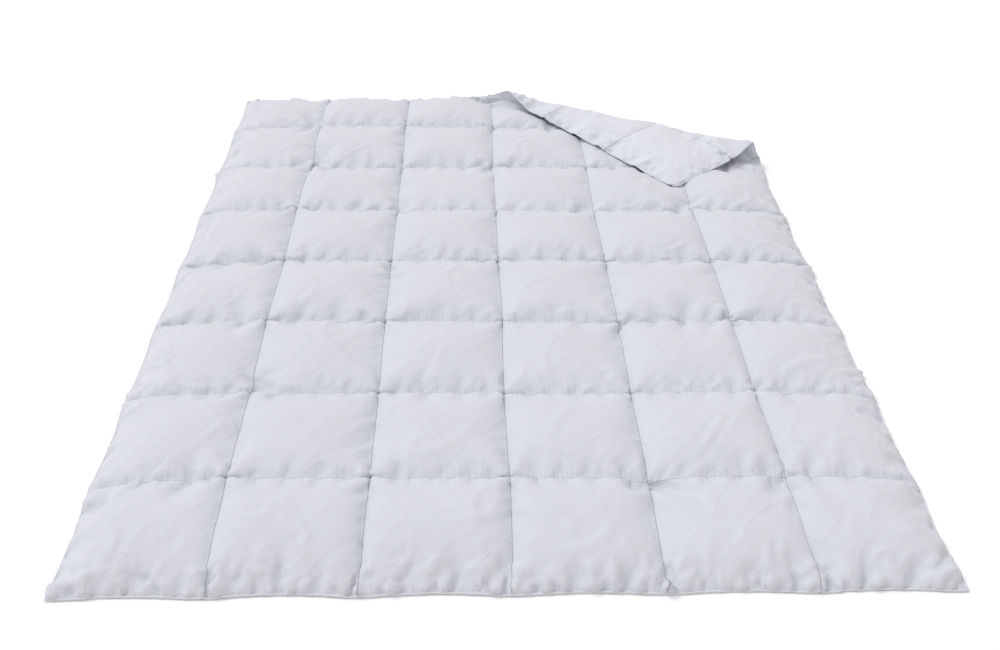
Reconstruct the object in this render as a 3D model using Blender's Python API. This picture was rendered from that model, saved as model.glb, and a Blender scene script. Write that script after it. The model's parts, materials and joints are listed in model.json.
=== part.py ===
"""Box-quilted down duvet lying flat, with one head-end corner turned back over its top.

Metres, +Z up. The origin is the middle of the duvet on the surface it lies on.
The foot end is at -Y, the head end at +Y, and the corner at +X +Y is the turned one.

The covers are limp cloth. The bend along the turned corner is the one place where the design
has a hinge: everything on the near side of the fold line belongs to the flat part, everything
beyond it to the corner. The corner is modelled as it lies when it is opened out and is then
swung half a turn about the fold line into its turned-back place.
"""

import math

import bmesh
import bpy
from mathutils import Matrix, Vector

# Finished size, out to the piping
DUVET_WIDTH = 1.600
DUVET_LENGTH = 2.000

# Chambers across the width and along the length
COLUMNS = 6
ROWS = 8

# Where the fold line meets the head edge and the side edge, as fractions of the finished size,
# measured from the turned corner
FOLD_ALONG_HEAD = 0.497
FOLD_ALONG_SIDE = 0.1925

# Heights above the floor
BAFFLE_SEAM_HEIGHT = 0.022
PUFF_HEIGHT = 0.060
FOLD_HEIGHT = 0.040
CORNER_SEAM_THICKNESS = 0.018
CORNER_PUFF_THICKNESS = 0.0392

# Cloth, piping and the clearance between neighbours
COVER_CLOTH = 0.0008
BAFFLE_CLOTH = 0.0008
PIPING_DIAMETER = 0.004
CLEARANCE = 0.0003

# How far the chambers and their baffles stop short of the edge seam
FILLING_INSET = 0.010

# A chamber that crosses the fold line by less than this holds no down beyond it
SMALLEST_OFFCUT = 0.015

# A chamber's cloth is divided at these fractions of its side, and rises by the curve below
CHAMBER_STATIONS = (0.0, 0.14, 0.5, 0.86, 1.0)
PUFF_EXPONENT = 0.5
EDGE_RISE = 0.45

# Sides of the piping's round section
PIPING_SIDES = 12

# Colours and finish
COTTON_COLOUR = (0.80, 0.79, 0.82, 1.0)
DOWN_COLOUR = (0.90, 0.89, 0.86, 1.0)
BAFFLE_COLOUR = (0.86, 0.86, 0.86, 1.0)
PIPING_COLOUR = (0.76, 0.75, 0.78, 1.0)

# Derived sizes
CHAMBER_WIDTH = DUVET_WIDTH / COLUMNS
CHAMBER_LENGTH = DUVET_LENGTH / ROWS
COVER_HALF_WIDTH = DUVET_WIDTH / 2 - PIPING_DIAMETER - CLEARANCE
COVER_HALF_LENGTH = DUVET_LENGTH / 2 - PIPING_DIAMETER - CLEARANCE
FILLING_FLOOR = COVER_CLOTH + CLEARANCE
EDGE_HEIGHT = 2 * COVER_CLOTH + CLEARANCE
PIPING_AXIS_HEIGHT = PIPING_DIAMETER / 2 + CLEARANCE

# The fold line, its level direction and its level normal, which points to the turned corner
FOLD_HEAD_POINT = Vector((DUVET_WIDTH * (0.5 - FOLD_ALONG_HEAD), DUVET_LENGTH / 2, FOLD_HEIGHT))
FOLD_SIDE_POINT = Vector((DUVET_WIDTH / 2, DUVET_LENGTH * (0.5 - FOLD_ALONG_SIDE), FOLD_HEIGHT))
FOLD_DIRECTION = (FOLD_HEAD_POINT - FOLD_SIDE_POINT).normalized()
FOLD_NORMAL = FOLD_DIRECTION.cross(Vector((0, 0, 1)))


def remove_scene_objects():
    for item in list(bpy.data.objects):
        bpy.data.objects.remove(item, do_unlink=True)


def make_material(name, colour, roughness):
    material = bpy.data.materials.new(name)
    material.use_nodes = True
    shader = material.node_tree.nodes["Principled BSDF"]
    shader.inputs["Base Color"].default_value = colour
    shader.inputs["Roughness"].default_value = roughness
    shader.inputs["Metallic"].default_value = 0.0
    material.diffuse_color = colour
    return material


def distance_past_fold(x, y):
    """Level distance from the fold line, positive on the turned corner's side."""
    return (Vector((x, y, FOLD_HEIGHT)) - FOLD_HEAD_POINT).dot(FOLD_NORMAL)


def turned_corner_outline():
    """The three points, in plan, of the corner as it lies turned back."""
    corner = Vector((DUVET_WIDTH / 2, DUVET_LENGTH / 2, FOLD_HEIGHT))
    tip = corner - 2 * distance_past_fold(corner.x, corner.y) * FOLD_NORMAL
    return [FOLD_HEAD_POINT, tip, FOLD_SIDE_POINT]


def is_under_corner(x, y, margin):
    """Whether a point in plan is under the turned-back corner, or within a margin of it."""
    outline = turned_corner_outline()
    for start, end in zip(outline, outline[1:] + outline[:1]):
        side = (end - start).normalized()
        outward = (x - start.x) * side.y - (y - start.y) * side.x
        if outward > margin:
            return False
    return True


def chamber_lines(half_size, pitch, count):
    """Every station across one direction of the quilt, from edge to edge."""
    stations = []
    for chamber in range(count):
        start = max(-half_size, (chamber - count / 2) * pitch)
        end = min(half_size, (chamber + 1 - count / 2) * pitch)
        for fraction in CHAMBER_STATIONS[:-1]:
            stations.append(start + fraction * (end - start))
    stations.append(half_size)
    return stations


def puff_profile(station):
    """Rise of a puff between two seams, from 0 at a seam to 1 in the middle."""
    fraction = CHAMBER_STATIONS[station % (len(CHAMBER_STATIONS) - 1)]
    return (4 * fraction * (1 - fraction)) ** PUFF_EXPONENT


def edge_profile(distance, pitch):
    """Rise of the quilt from its edge seam to its full seam height."""
    part = min(1.0, distance / (EDGE_RISE * pitch))
    return math.sqrt(1 - (1 - part) ** 2)


class QuiltedFace:
    """Heights of one puffed cover over its own flat side, on the stations of the quilt."""

    def __init__(self, seam_height, puff_height):
        self.xs = chamber_lines(COVER_HALF_WIDTH, CHAMBER_WIDTH, COLUMNS)
        self.ys = chamber_lines(COVER_HALF_LENGTH, CHAMBER_LENGTH, ROWS)
        self.heights = []
        for i, x in enumerate(self.xs):
            column = []
            for j, y in enumerate(self.ys):
                rise = edge_profile(COVER_HALF_WIDTH - abs(x), CHAMBER_WIDTH)
                rise *= edge_profile(COVER_HALF_LENGTH - abs(y), CHAMBER_LENGTH)
                base = EDGE_HEIGHT + (seam_height - EDGE_HEIGHT) * rise
                puff = (puff_height - seam_height) * puff_profile(i) * puff_profile(j)
                column.append(base + puff)
            self.heights.append(column)

    def press_under_corner(self, limit):
        """Lower every cell that the turned-back corner lies on."""
        for i in range(len(self.xs) - 1):
            for j in range(len(self.ys) - 1):
                if self.cell_is_covered(i, j):
                    for a, b in ((i, j), (i + 1, j), (i + 1, j + 1), (i, j + 1)):
                        self.heights[a][b] = min(self.heights[a][b], limit)

    def cell_is_covered(self, i, j, samples=8):
        for step_x in range(samples + 1):
            for step_y in range(samples + 1):
                x = self.xs[i] + (self.xs[i + 1] - self.xs[i]) * step_x / samples
                y = self.ys[j] + (self.ys[j + 1] - self.ys[j]) * step_y / samples
                if is_under_corner(x, y, FILLING_INSET):
                    return True
        return False

    def height_at(self, x, y):
        """Height of the triangulated cover at any point in plan."""
        i = last_station_below(self.xs, x)
        j = last_station_below(self.ys, y)
        u = (x - self.xs[i]) / (self.xs[i + 1] - self.xs[i])
        v = (y - self.ys[j]) / (self.ys[j + 1] - self.ys[j])
        low_left = self.heights[i][j]
        low_right = self.heights[i + 1][j]
        high_left = self.heights[i][j + 1]
        high_right = self.heights[i + 1][j + 1]
        if rising_diagonal(i, j):
            if u > v:
                return low_left + u * (low_right - low_left) + v * (high_right - low_right)
            return low_left + v * (high_left - low_left) + u * (high_right - high_left)
        if u + v < 1:
            return low_left + u * (low_right - low_left) + v * (high_left - low_left)
        return high_right + (1 - u) * (high_left - high_right) + (1 - v) * (low_right - high_right)


def last_station_below(stations, value):
    for index in range(len(stations) - 2, 0, -1):
        if value >= stations[index]:
            return index
    return 0


def rising_diagonal(i, j):
    """Cells are split from each chamber's corners towards its middle."""
    half = (len(CHAMBER_STATIONS) - 1) // 2
    return ((i // half) % 2) == ((j // half) % 2)


def lattice(xs, ys, low, high, solid=None, split=None):
    """Closed body over the solid cells of a grid, between two height functions of x and y."""
    mesh = bmesh.new()
    corners = {}

    def vertex(i, j, top):
        key = (i, j, top)
        if key not in corners:
            height = high if top else low
            corners[key] = mesh.verts.new((xs[i], ys[j], height(xs[i], ys[j])))
        return corners[key]

    def is_solid(i, j):
        inside = 0 <= i < len(xs) - 1 and 0 <= j < len(ys) - 1
        return inside and (solid is None or solid(i, j))

    for i in range(len(xs) - 1):
        for j in range(len(ys) - 1):
            if not is_solid(i, j):
                continue
            ring = [(i, j), (i + 1, j), (i + 1, j + 1), (i, j + 1)]
            if split is None or not split(i, j):
                ring = ring[1:] + ring[:1]
            for top in (True, False):
                loop = [vertex(a, b, top) for a, b in ring]
                for triangle in ((0, 1, 2), (0, 2, 3)):
                    picked = [loop[k] for k in triangle]
                    mesh.faces.new(picked if top else picked[::-1])
            ring = [(i, j), (i + 1, j), (i + 1, j + 1), (i, j + 1)]
            beside = ((i, j - 1), (i + 1, j), (i, j + 1), (i - 1, j))
            for side, neighbour in enumerate(beside):
                if not is_solid(*neighbour):
                    a, b = ring[side], ring[(side + 1) % 4]
                    wall = (vertex(*a, False), vertex(*b, False), vertex(*b, True), vertex(*a, True))
                    mesh.faces.new(wall)
    return mesh


def merge_flat_faces(mesh):
    """Join triangles that lie in one plane, then divide what is left into simple triangles."""
    bmesh.ops.dissolve_limit(
        mesh, angle_limit=math.radians(0.01), verts=mesh.verts, edges=mesh.edges
    )
    bmesh.ops.triangulate(mesh, faces=mesh.faces, ngon_method="EAR_CLIP")


def trim_at_fold(mesh, keep_corner):
    """Cut a body along the fold line and keep one side, closed, half a clearance from the line."""
    side = 1 if keep_corner else -1
    bmesh.ops.bisect_plane(
        mesh,
        geom=mesh.verts[:] + mesh.edges[:] + mesh.faces[:],
        dist=1e-7,
        plane_co=FOLD_HEAD_POINT + FOLD_NORMAL * side * CLEARANCE / 2,
        plane_no=-FOLD_NORMAL * side,
        clear_outer=True,
    )
    open_edges = [edge for edge in mesh.edges if edge.is_boundary]
    if open_edges:
        bmesh.ops.holes_fill(mesh, edges=open_edges, sides=0)


def turn_back(mesh):
    """Swing the opened-out corner half a turn about the fold line."""
    pivot = FOLD_HEAD_POINT
    half_turn = Matrix.Rotation(math.pi, 4, FOLD_DIRECTION)
    move = Matrix.Translation(pivot) @ half_turn @ Matrix.Translation(-pivot)
    bmesh.ops.transform(mesh, matrix=move, verts=mesh.verts)


def finish(name, mesh, material, parent):
    """Turn a mesh into a named object under its body's empty, which sits at that body's origin."""
    bmesh.ops.triangulate(mesh, faces=mesh.faces, ngon_method="EAR_CLIP")
    bmesh.ops.recalc_face_normals(mesh, faces=mesh.faces)
    bmesh.ops.translate(mesh, vec=-parent.location, verts=mesh.verts)
    data = bpy.data.meshes.new(name)
    mesh.to_mesh(data)
    mesh.free()
    data.materials.append(material)
    item = bpy.data.objects.new(name, data)
    item.parent = parent
    bpy.context.scene.collection.objects.link(item)
    return item


def make_empty(name, location):
    empty = bpy.data.objects.new(name, None)
    empty.location = location
    bpy.context.scene.collection.objects.link(empty)
    return empty


def cover_lines(flat):
    """Stations of a cover: only its edges for a flat one, every station for a puffed one."""
    if flat:
        return [-COVER_HALF_WIDTH, COVER_HALF_WIDTH], [-COVER_HALF_LENGTH, COVER_HALF_LENGTH]
    return (
        chamber_lines(COVER_HALF_WIDTH, CHAMBER_WIDTH, COLUMNS),
        chamber_lines(COVER_HALF_LENGTH, CHAMBER_LENGTH, ROWS),
    )


def chamber_span(index, count, pitch, half_size, lines):
    """Stations of one chamber's filling, clear of its baffles or of the edge seam."""
    wall = BAFFLE_CLOTH / 2 + CLEARANCE
    low = (index - count / 2) * pitch + wall
    high = (index + 1 - count / 2) * pitch - wall
    low = max(low, -half_size + FILLING_INSET)
    high = min(high, half_size - FILLING_INSET)
    return [low] + [line for line in lines if low < line < high] + [high]


def baffle_lines(count, pitch, half_size, lines):
    """Stations across the baffle walls, and which of the intervals between them are walls."""
    start, end = -half_size + FILLING_INSET, half_size - FILLING_INSET
    first_seam = (1 - count / 2) * pitch
    stations = {start, end}
    stations.update(line for line in lines if start < line < first_seam - pitch / 3)
    stations.update(line for line in lines if -first_seam + pitch / 3 < line < end)
    walls = []
    for seam in range(1, count):
        centre = (seam - count / 2) * pitch
        stations.update((centre - BAFFLE_CLOTH / 2, centre + BAFFLE_CLOTH / 2))
        walls.append(centre)
    stations = sorted(stations)
    middles = [(a + b) / 2 for a, b in zip(stations, stations[1:])]
    is_wall = [any(abs(middle - wall) < BAFFLE_CLOTH for wall in walls) for middle in middles]
    return stations, is_wall


def chamber_split(xs, ys, face):
    """Diagonals of a chamber's filling follow those of the cover over it."""

    def split(i, j):
        middle_x = (xs[i] + xs[i + 1]) / 2
        middle_y = (ys[j] + ys[j + 1]) / 2
        column = last_station_below(face.xs, middle_x)
        row = last_station_below(face.ys, middle_y)
        return rising_diagonal(column, row)

    return split


def chamber_shares(column, row):
    """Whether a chamber has down on the flat side of the fold line, and whether beyond it."""
    distances = []
    for step_x in (0, 1):
        for step_y in (0, 1):
            x = (column + step_x - COLUMNS / 2) * CHAMBER_WIDTH
            y = (row + step_y - ROWS / 2) * CHAMBER_LENGTH
            distances.append(distance_past_fold(x, y))
    return min(distances) < -SMALLEST_OFFCUT, max(distances) > SMALLEST_OFFCUT


def piping_path(keep_corner):
    """Centre line of the piping on one side of the fold line, in plan, mitred at the corners."""
    across = DUVET_WIDTH / 2 - PIPING_DIAMETER / 2
    along = DUVET_LENGTH / 2 - PIPING_DIAMETER / 2
    head_start = FOLD_HEAD_POINT.x
    side_start = FOLD_SIDE_POINT.y
    clear_of_fold = 2 * PIPING_DIAMETER
    if keep_corner:
        corners = [(across, along)]
        start = (head_start + clear_of_fold, along)
        end = (across, side_start + clear_of_fold)
    else:
        corners = [(-across, along), (-across, -along), (across, -along)]
        start = (head_start - clear_of_fold, along)
        end = (across, side_start - clear_of_fold)
    return [Vector(start)] + [Vector(corner) for corner in corners] + [Vector(end)]


def tube(points, height):
    """Round closed tube along a level path."""
    mesh = bmesh.new()
    rings = []
    for index, point in enumerate(points):
        before = (point - points[index - 1]).normalized() if index else None
        after = (points[index + 1] - point).normalized() if index + 1 < len(points) else None
        heading = ((before or after) + (after or before)).normalized()
        widen = 1.0
        if before and after:
            widen = 1 / max(0.5, heading.dot(after))
        ring = []
        for side in range(PIPING_SIDES):
            turn = 2 * math.pi * (side + 0.5) / PIPING_SIDES
            out = PIPING_DIAMETER / 2 * math.cos(turn) * widen
            up = PIPING_DIAMETER / 2 * math.sin(turn)
            place = (point.x + heading.y * out, point.y - heading.x * out, height + up)
            ring.append(mesh.verts.new(place))
        rings.append(ring)
    for first, second in zip(rings, rings[1:]):
        for side in range(PIPING_SIDES):
            follow = (side + 1) % PIPING_SIDES
            mesh.faces.new((first[side], first[follow], second[follow], second[side]))
    mesh.faces.new(rings[0])
    mesh.faces.new(rings[-1][::-1])
    return mesh


def build_covers(bodies, materials, upper, corner_under):
    cotton = materials["cotton_top"]
    under_cotton = materials["cotton_under"]
    flat_xs, flat_ys = cover_lines(flat=True)
    xs, ys = cover_lines(flat=False)

    mesh = lattice(flat_xs, flat_ys, lambda x, y: 0.0, lambda x, y: COVER_CLOTH)
    trim_at_fold(mesh, keep_corner=False)
    finish("bottom_cover", mesh, under_cotton, bodies["quilt"])

    def upper_outside(x, y):
        return upper.height_at(x, y)

    def upper_inside(x, y):
        return upper.height_at(x, y) - COVER_CLOTH

    mesh = lattice(xs, ys, upper_inside, upper_outside, split=rising_diagonal)
    trim_at_fold(mesh, keep_corner=False)
    finish("top_cover", mesh, cotton, bodies["quilt"])

    ceiling = FOLD_HEIGHT - CLEARANCE / 2
    mesh = lattice(flat_xs, flat_ys, lambda x, y: ceiling - COVER_CLOTH, lambda x, y: ceiling)
    trim_at_fold(mesh, keep_corner=True)
    turn_back(mesh)
    finish("corner_top_cover", mesh, cotton, bodies["corner"])

    def under_outside(x, y):
        return ceiling - corner_under.height_at(x, y)

    def under_inside(x, y):
        return ceiling - corner_under.height_at(x, y) + COVER_CLOTH

    mesh = lattice(xs, ys, under_outside, under_inside, split=rising_diagonal)
    trim_at_fold(mesh, keep_corner=True)
    turn_back(mesh)
    finish("corner_bottom_cover", mesh, under_cotton, bodies["corner"])


def build_filling(bodies, materials, upper, corner_under):
    """One body of down in each chamber. The fold line parts the chambers that it crosses."""
    skin = COVER_CLOTH + CLEARANCE
    ceiling = FOLD_HEIGHT - CLEARANCE / 2 - skin
    for column in range(COLUMNS):
        xs = chamber_span(column, COLUMNS, CHAMBER_WIDTH, COVER_HALF_WIDTH, upper.xs)
        for row in range(ROWS):
            ys = chamber_span(row, ROWS, CHAMBER_LENGTH, COVER_HALF_LENGTH, upper.ys)
            on_flat_side, on_corner = chamber_shares(column, row)
            label = f"{column + 1}_{row + 1}"
            if on_flat_side:
                mesh = lattice(
                    xs, ys,
                    lambda x, y: FILLING_FLOOR,
                    lambda x, y: upper.height_at(x, y) - skin,
                    split=chamber_split(xs, ys, upper),
                )
                merge_flat_faces(mesh)
                trim_at_fold(mesh, keep_corner=False)
                finish(f"down_{label}", mesh, materials["down"], bodies["quilt"])
            if on_corner:
                mesh = lattice(
                    xs, ys,
                    lambda x, y: FOLD_HEIGHT - CLEARANCE / 2 - corner_under.height_at(x, y) + skin,
                    lambda x, y: ceiling,
                    split=chamber_split(xs, ys, corner_under),
                )
                merge_flat_faces(mesh)
                trim_at_fold(mesh, keep_corner=True)
                turn_back(mesh)
                finish(f"corner_down_{label}", mesh, materials["down"], bodies["corner"])


def seam_height(face, x, y):
    """Where a baffle may reach: the lowest cover across its thickness, less one clearance."""
    steps = (-BAFFLE_CLOTH, 0.0, BAFFLE_CLOTH)
    heights = [face.height_at(x + across, y + along) for across in steps for along in steps]
    return min(heights) - CLEARANCE


def baffle_grid(upper, low, high):
    xs, wall_columns = baffle_lines(COLUMNS, CHAMBER_WIDTH, COVER_HALF_WIDTH, upper.xs)
    ys, wall_rows = baffle_lines(ROWS, CHAMBER_LENGTH, COVER_HALF_LENGTH, upper.ys)

    def solid(i, j):
        return wall_columns[i] or wall_rows[j]

    return lattice(xs, ys, low, high, solid=solid)


def keep_one_piece(mesh, near):
    """Drop every separate piece but the one that has the vertex nearest to a point."""
    mesh.verts.ensure_lookup_table()
    start = min(mesh.verts, key=lambda vertex: (vertex.co - near).length)
    kept = {start}
    front = [start]
    while front:
        vertex = front.pop()
        for edge in vertex.link_edges:
            other = edge.other_vert(vertex)
            if other not in kept:
                kept.add(other)
                front.append(other)
    bmesh.ops.delete(mesh, geom=[v for v in mesh.verts if v not in kept], context="VERTS")


def build_baffles(bodies, materials, upper, corner_under):
    """Baffle walls. Past the fold line, the lengthwise one nearest the fold stands by itself."""
    skin = COVER_CLOTH + CLEARANCE
    cloth = materials["baffle"]
    mesh = baffle_grid(
        upper, lambda x, y: FILLING_FLOOR, lambda x, y: seam_height(upper, x, y) - skin
    )
    trim_at_fold(mesh, keep_corner=False)
    finish("baffle_walls", mesh, cloth, bodies["quilt"])

    ceiling = FOLD_HEIGHT - CLEARANCE / 2 - skin

    def corner_low(x, y):
        return FOLD_HEIGHT - CLEARANCE / 2 - seam_height(corner_under, x, y) + skin

    head_edge = DUVET_LENGTH / 2
    places = {
        "corner_baffle_box": (COLUMNS / 2 - 1) * CHAMBER_WIDTH,
        "corner_baffle_single": (COLUMNS / 2 - 2) * CHAMBER_WIDTH,
    }
    for name, seam_x in places.items():
        mesh = baffle_grid(upper, corner_low, lambda x, y: ceiling)
        trim_at_fold(mesh, keep_corner=True)
        keep_one_piece(mesh, Vector((seam_x, head_edge, ceiling)))
        turn_back(mesh)
        finish(name, mesh, cloth, bodies["corner"])


def build_piping(bodies, materials):
    mesh = tube(piping_path(keep_corner=False), PIPING_AXIS_HEIGHT)
    finish("piping", mesh, materials["piping"], bodies["quilt"])
    height = FOLD_HEIGHT - CLEARANCE / 2 - PIPING_AXIS_HEIGHT
    mesh = tube(piping_path(keep_corner=True), height)
    turn_back(mesh)
    finish("corner_piping", mesh, materials["piping"], bodies["corner"])


def build_duvet():
    remove_scene_objects()
    materials = {
        "cotton_top": make_material("cotton_top", COTTON_COLOUR, 0.85),
        "cotton_under": make_material("cotton_under", COTTON_COLOUR, 0.85),
        "down": make_material("down", DOWN_COLOUR, 0.95),
        "baffle": make_material("baffle", BAFFLE_COLOUR, 0.90),
        "piping": make_material("piping", PIPING_COLOUR, 0.80),
    }
    bodies = {
        "quilt": make_empty("quilt", Vector((0.0, 0.0, 0.0))),
        "corner": make_empty("corner", (FOLD_HEAD_POINT + FOLD_SIDE_POINT) / 2),
    }
    upper = QuiltedFace(BAFFLE_SEAM_HEIGHT, PUFF_HEIGHT)
    upper.press_under_corner(FOLD_HEIGHT - CLEARANCE / 2)
    corner_under = QuiltedFace(CORNER_SEAM_THICKNESS, CORNER_PUFF_THICKNESS)
    build_covers(bodies, materials, upper, corner_under)
    build_filling(bodies, materials, upper, corner_under)
    build_baffles(bodies, materials, upper, corner_under)
    build_piping(bodies, materials)


build_duvet()
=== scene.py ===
import json
import math

import bpy
import numpy as np
from mathutils import Matrix, Vector


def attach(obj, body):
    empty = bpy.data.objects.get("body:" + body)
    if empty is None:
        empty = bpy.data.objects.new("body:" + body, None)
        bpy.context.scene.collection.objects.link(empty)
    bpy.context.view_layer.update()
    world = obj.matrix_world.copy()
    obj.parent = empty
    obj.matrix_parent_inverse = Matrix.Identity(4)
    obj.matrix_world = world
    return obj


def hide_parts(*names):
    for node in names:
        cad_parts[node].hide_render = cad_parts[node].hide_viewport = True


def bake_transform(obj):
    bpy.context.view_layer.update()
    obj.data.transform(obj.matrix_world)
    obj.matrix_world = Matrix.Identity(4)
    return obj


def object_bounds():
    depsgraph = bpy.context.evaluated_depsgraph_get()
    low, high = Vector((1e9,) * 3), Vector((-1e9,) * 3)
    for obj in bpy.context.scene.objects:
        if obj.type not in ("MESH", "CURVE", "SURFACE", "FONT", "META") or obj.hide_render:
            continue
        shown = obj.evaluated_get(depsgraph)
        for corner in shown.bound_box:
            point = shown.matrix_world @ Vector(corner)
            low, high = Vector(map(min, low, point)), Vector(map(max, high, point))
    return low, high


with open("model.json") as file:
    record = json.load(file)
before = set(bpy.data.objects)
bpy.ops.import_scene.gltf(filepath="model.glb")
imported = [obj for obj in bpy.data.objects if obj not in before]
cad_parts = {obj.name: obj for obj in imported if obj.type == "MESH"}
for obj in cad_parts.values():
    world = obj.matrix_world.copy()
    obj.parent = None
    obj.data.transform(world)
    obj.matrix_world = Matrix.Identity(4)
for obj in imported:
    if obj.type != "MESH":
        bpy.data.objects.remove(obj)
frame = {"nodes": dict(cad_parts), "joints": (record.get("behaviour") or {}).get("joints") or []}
cad_low, cad_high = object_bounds()

# ---------------------------------------------------------------------------------------------
# Where the duvet is seen from: standing height at the foot end, a little left of the middle,
# looking down along its length.

EYE = Vector((-0.083, -2.094, 1.414))
LOOK_DOWN = math.radians(37.0)
LOOK_RIGHT = math.radians(2.47)
HEAD_TILT = math.radians(1.43)
SENSOR_WIDTH = 36.0
FOCAL_LENGTH = 36.0

lens = bpy.data.cameras.new("eye")
lens.sensor_width = SENSOR_WIDTH
lens.lens = FOCAL_LENGTH
lens.clip_start = 0.05
camera = bpy.data.objects.new("eye", lens)
heading = Matrix.Rotation(-LOOK_RIGHT, 4, "Z")
pitch = Matrix.Rotation(math.pi / 2 - LOOK_DOWN, 4, "X")
roll = Matrix.Rotation(HEAD_TILT, 4, "Z")
camera.matrix_world = Matrix.Translation(EYE) @ heading @ pitch @ roll
bpy.context.scene.collection.objects.link(camera)
bpy.context.scene.camera = camera

# ---------------------------------------------------------------------------------------------
# The two covers, of fine down-proof cotton. Each panel is cut with spare cloth, and thread
# gathers it along the chamber lines and the edge. Light baffles join the panels along the
# lines, the filling pushes them apart, and the turned-back corner lies on the flat part.

COLUMNS = 6                       # chambers across the duvet
ROWS = 8                          # and along it
CUTTINGS = (11, 22, 44)           # cells along a chamber's side, from the first settling to the last
ROUNDS = (600, 300, 230)          # rounds of each settling
QUICK_ROUNDS = 20
FILLING_PUSH = (1.0e-4, 2.0e-5, 4.0e-6)  # metres that the filling moves a free point in a round
WEIGHT_SHARE = 0.7                # weight of the filled cloth, as a share of the filling's push
LIGHTER_ON_CORNER = 0.10          # share of the corner's weight that what it lies on takes
EDGE_WEIGHT = 2.5                 # the piping and the turned-in cloth weigh the edge down
EDGE_LEVEL = 0.003                # height of the edge where it lies on the floor
RAMP = 0.16                       # how far before the fold the edge begins to rise towards it
SPARE_ACROSS = 0.030              # spare cloth in the cut panels, as a share of the finished size
SPARE_ALONG = 0.027
GATHER_ACROSS = 0.075             # more of it close to a seam, drawn into puckers
GATHER_ALONG = 0.028
GATHER_REACH = 0.027              # how far from the seam that extra cloth lies
THREAD_EASE = 0.012               # what the thread of a seam gives
EDGE_EASE = 0.012                 # and what the piping gives
TACK_PINCH = 0.20                 # how much a tack shortens the seams where they cross
TACK_REACH = 0.014                # how far along a seam a tack pulls
SCALLOP = 0.008                   # how far the edge is drawn in between the ends of two seams
CUT_VARIATION = 0.015             # unevenness of the spare cloth
SEAM_STRAY = 0.003                # unevenness of the crossings
BAFFLE_HEIGHT = 0.020             # between the rows of thread on the two covers
STRETCH = 1.0                     # stiffness of the cloth along its threads when drawn out
SQUEEZE = 0.85                    # and when pushed together
SHEAR = 0.11                      # stiffness of the cloth on the bias
BENDING = 0.015                   # and against bending
DRIFT = 0.92                      # share of a point's movement that lasts to the next round
CROSSING_HOLD = 0.3               # share of the way back to its place that a crossing goes in a round
CORNER_CROSSING_HOLD = 0.03       # the same on the turned-back corner, which lies more loosely
SEAM_HOLD = 0.02                  # the same for a point of a seam,
STRIP_HOLD = 0.12                 # for the cloth in the bend at the fold,
EDGE_HOLD = 0.06                  # for the height of the edge,
BAFFLE_UPRIGHT = 0.15             # and for a baffle that leans
THINNER_AT_FOLD = 0.25            # the filling slips out of the way of the fold
CREASE_REACH = 0.03               # within this of the fold line the layers pass each other
BEND_REACH = 0.07                 # the strip of cloth that bends when the corner is opened
BEND_GAP = 0.002                  # room that the strip leaves on each side of the fold's level
BIGHT = 0.034                     # radius of the bend in which the under cover is first laid out
BIGHT_START = 0.036               # how far inside the fold line the settled bend begins
BIGHT_DEPTH = 0.018               # how far it bulges out from there, towards the fold line
CREASE = 0.032                    # how far inside the fold line the upper cover turns back
HALF_CLOTH = 0.0005               # half the thickness of a cover
PIPING_RADIUS = 0.002

width = cad_high.x - cad_low.x
length = cad_high.y - cad_low.y
hinge = frame["joints"][0]
fold_point = np.array(hinge["pos_m"][:2])
fold_height = hinge["pos_m"][2]
fold_along = np.array(hinge["axis"][:2])
fold_across = np.array([fold_along[1], -fold_along[0]])


def past_fold(x, y):
    """Level distance past the fold line, on the turned corner's side."""
    return (x - fold_point[0]) * fold_across[0] + (y - fold_point[1]) * fold_across[1]


def turned_corner():
    """The corner as it lies turned back: start of the fold, tip, and end of the fold, in plan."""
    reach = (length / 2 - fold_point[1]) / fold_along[1]
    head = fold_point + fold_along * reach
    reach = (width / 2 - fold_point[0]) / fold_along[0]
    side = fold_point + fold_along * reach
    corner = np.array([width / 2, length / 2])
    tip = corner - 2 * past_fold(*corner) * fold_across
    return head, tip, side


def from_fold_end(x, y):
    """Distance along the fold to the nearer of its two ends."""
    head, tip, side_end = turned_corner()
    way = (side_end - head) / np.hypot(*(side_end - head))
    run = (x - head[0]) * way[0] + (y - head[1]) * way[1]
    return np.minimum(run, np.dot(side_end - head, way) - run)


def ripple(x, y, seed, shortest, longest, waves=14):
    """Smooth unevenness of hand work: a sum of waves in all directions, about 1 high."""
    chance = np.random.default_rng(seed)
    total = np.zeros_like(x)
    for _ in range(waves):
        number = 2 * np.pi / chance.uniform(shortest, longest)
        way = chance.uniform(0, 2 * np.pi)
        phase = chance.uniform(0, 2 * np.pi)
        total += np.sin(number * (x * np.cos(way) + y * np.sin(way)) + phase)
    return total / np.sqrt(waves / 2)


def split_finer(points):
    """The same cloth with twice as many divisions each way."""
    for axis in (1, 2):
        points = np.moveaxis(points, axis, 0)
        finer = np.empty((len(points) * 2 - 1,) + points.shape[1:], np.float32)
        finer[::2] = points
        finer[1::2] = (points[1:] + points[:-1]) / 2
        points = np.moveaxis(finer, 0, axis)
    return np.ascontiguousarray(points)


def pull_to_length(one, other, rest, stretch, squeeze):
    """Move pairs of points until they are their cut length apart."""
    apart = other - one
    now = np.sqrt(np.einsum("...k,...k->...", apart, apart)) + 1e-9
    share = (now - rest) / now
    share *= np.where(share > 0, stretch, squeeze) * 0.5
    apart *= share[..., None]
    one += apart
    other -= apart


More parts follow.
